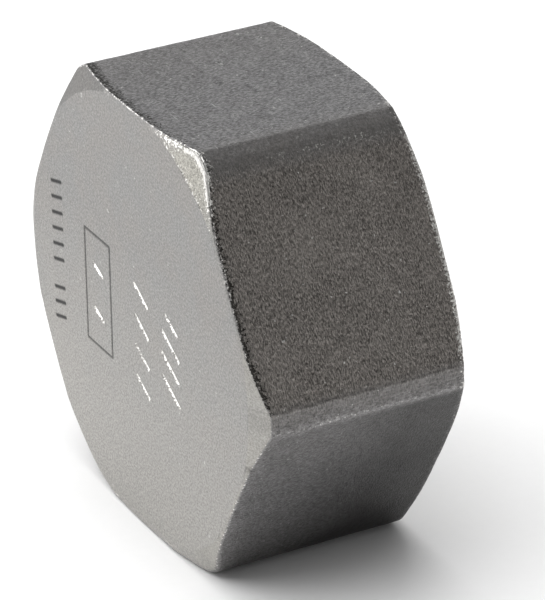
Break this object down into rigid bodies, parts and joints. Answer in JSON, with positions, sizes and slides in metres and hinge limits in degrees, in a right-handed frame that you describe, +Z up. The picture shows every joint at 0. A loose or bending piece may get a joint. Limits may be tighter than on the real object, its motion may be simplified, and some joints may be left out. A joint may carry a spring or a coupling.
{
  "type": "threaded hexagonal pipe cap",
  "caption": "Hexagonal pipe cap in blasted cast steel, closed at one end, with an internal pipe thread that screws over a male pipe end.",
  "frame": {"origin": "centre of the open face, on the thread axis", "axes": "+Y along the thread axis, out of the open mouth; the closed face looks towards -Y; +Z is up, with the cap lying on one of its wrench flats; +X points to one of the hexagon's corners"},
  "size_m": [0.062, 0.0278, 0.055],
  "materials": {
    "cast_steel": "blasted matt cast stainless steel, with turned end faces"
  },
  "bodies": {
    "root": {"cap_body": "cast_steel"}
  },
  "joints": []
}
